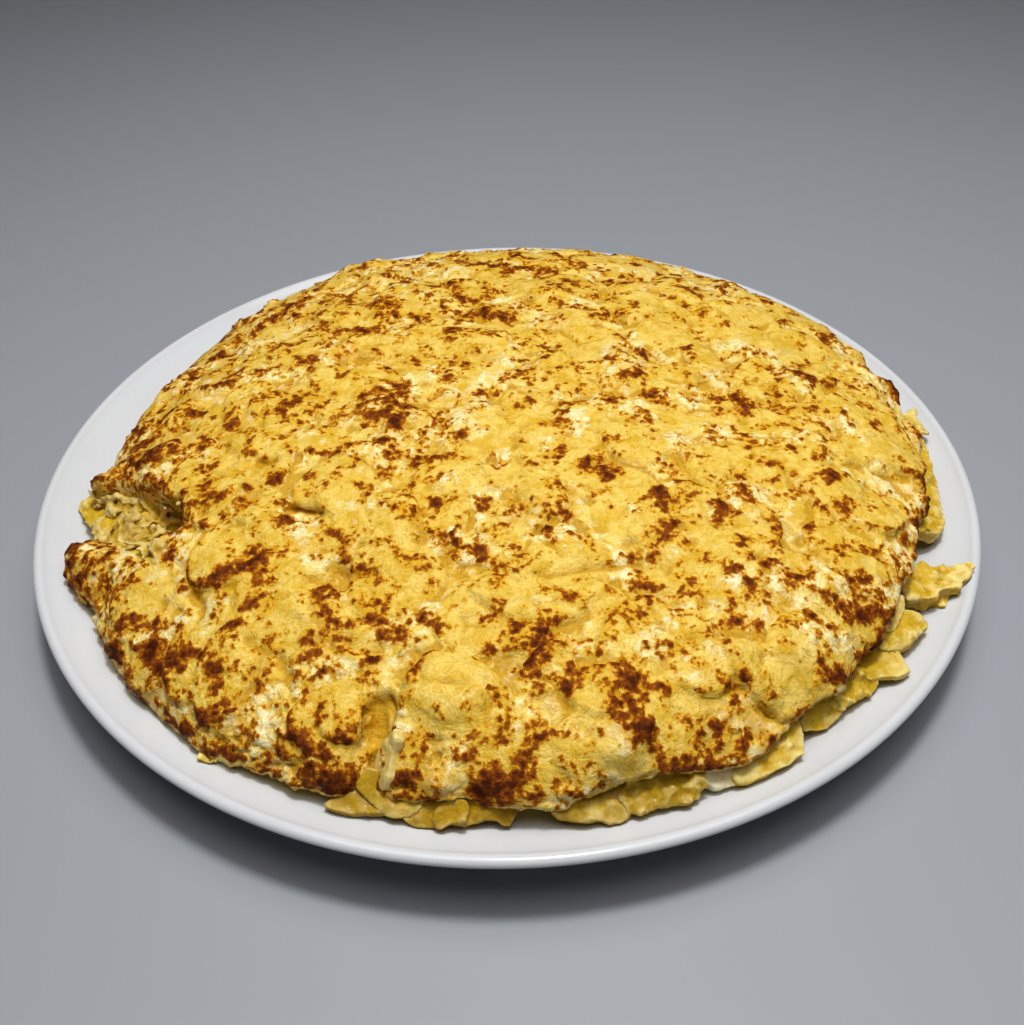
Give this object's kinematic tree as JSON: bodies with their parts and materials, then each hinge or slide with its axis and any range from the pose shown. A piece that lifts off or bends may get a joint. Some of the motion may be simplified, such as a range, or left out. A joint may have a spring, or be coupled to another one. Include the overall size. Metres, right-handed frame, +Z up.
{
  "type": "spanish omelette",
  "caption": "Thick round potato omelette with a browned crust, turned out on its plain white serving plate; broken potato slices show under the edge.",
  "frame": {"origin": "on the table, under the centre of the plate's foot ring", "axes": "+Z up, -Y towards the side that faces the viewer, +X to the viewer's right"},
  "size_m": [0.31, 0.31, 0.0533],
  "materials": {
    "porcelain": "gloss white glaze",
    "browned_egg": "set egg with a spotted brown crust",
    "cooked_potato": "waxy and moist",
    "egg_white": "soft and moist"
  },
  "bodies": {
    "root": {"plate": "porcelain", "omelette": "browned_egg", "potato_front_1": "cooked_potato", "potato_front_2": "cooked_potato", "potato_front_3": "cooked_potato", "potato_front_4": "cooked_potato", "potato_front_5": "cooked_potato", "potato_front_6": "cooked_potato", "egg_white_front": "egg_white", "potato_front_7": "cooked_potato", "potato_right_1": "cooked_potato", "potato_right_2": "cooked_potato", "potato_right_3": "cooked_potato", "potato_right_4": "cooked_potato", "potato_right_5": "cooked_potato", "potato_right_6": "cooked_potato", "filling_right_1": "cooked_potato", "filling_right_2": "cooked_potato", "crumb_left": "cooked_potato", "filling_left_1": "cooked_potato", "filling_left_2": "cooked_potato", "potato_back_1": "cooked_potato", "potato_back_2": "cooked_potato", "potato_back_3": "cooked_potato"}
  },
  "joints": []
}
